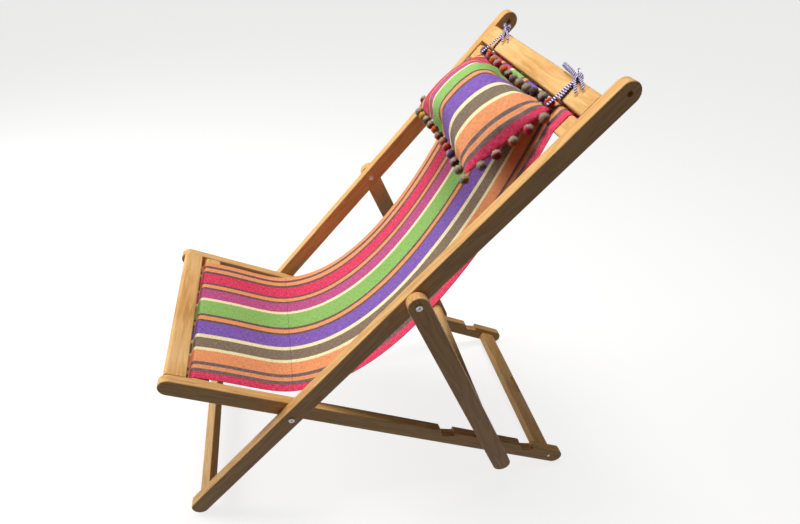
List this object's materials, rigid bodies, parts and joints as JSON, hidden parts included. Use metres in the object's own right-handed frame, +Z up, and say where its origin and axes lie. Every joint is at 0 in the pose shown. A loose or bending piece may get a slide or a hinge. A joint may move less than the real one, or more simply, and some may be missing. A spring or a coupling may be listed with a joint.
{
  "type": "folding deckchair",
  "caption": "Classic wooden deckchair with a striped cloth sling, notched recline and a tied head pillow with pom-pom trim; folds flat.",
  "frame": {"origin": "centre of the open chair's footprint, on the floor", "axes": "+Z up; the sitter faces -Y; +X is the sitter's left, along the pivots"},
  "size_m": [0.6056, 0.919, 0.9372],
  "materials": {
    "wood": "satin lacquered beech",
    "dowel": "plain beech dowel",
    "steel": "zinc plated",
    "sling": "woven cotton canvas with lengthwise stripes",
    "pillow": "woven cotton canvas with lengthwise stripes",
    "pom_yarn": "mixed wool yarn",
    "ribbon": "narrow woven ribbon"
  },
  "bodies": {
    "back_frame": {"back_rail_left": "wood", "back_rail_right": "wood", "head_rail": "wood", "top_sling_rail": "wood", "foot_rail": "wood", "top_sling_dowel": "dowel", "seat_pivot_bolts": "steel", "seat_pivot_nuts": "steel", "seat_pivot_washers": "steel", "prop_pivot_bolts": "steel", "prop_pivot_nuts": "steel", "prop_pivot_washers": "steel", "sling_back": "sling", "pillow": "pillow", "pom_poms": "pom_yarn", "ribbon_tie_left": "ribbon", "ribbon_tie_right": "ribbon"},
    "seat_frame": {"seat_rail_left": "wood", "seat_rail_right": "wood", "front_rail": "wood", "front_sling_rail": "wood", "rear_rail": "wood", "front_sling_dowel": "dowel", "rear_rail_screws": "steel", "sling_seat": "sling"},
    "prop_frame": {"prop_leg_left": "wood", "prop_leg_right": "wood", "prop_bar": "wood"}
  },
  "joints": [
    {"name": "seat_fold", "type": "hinge", "parent": "back_frame", "child": "seat_frame", "pos_m": [0, -0.2068, 0.28459], "axis": [1, 0, 0], "range_deg": [0, 69], "deforming": ["sling_seat", "sling_back", "pillow", "pom_poms", "ribbon_tie_left", "ribbon_tie_right"]},
    {"name": "prop_swing", "type": "hinge", "parent": "back_frame", "child": "prop_frame", "pos_m": [0, 0.03678, 0.56838], "axis": [1, 0, 0], "range_deg": [0, 117.3]}
  ],
  "couplings": [
    {"joint": "prop_swing", "follows": "seat_fold", "ratio": 1.7}
  ]
}
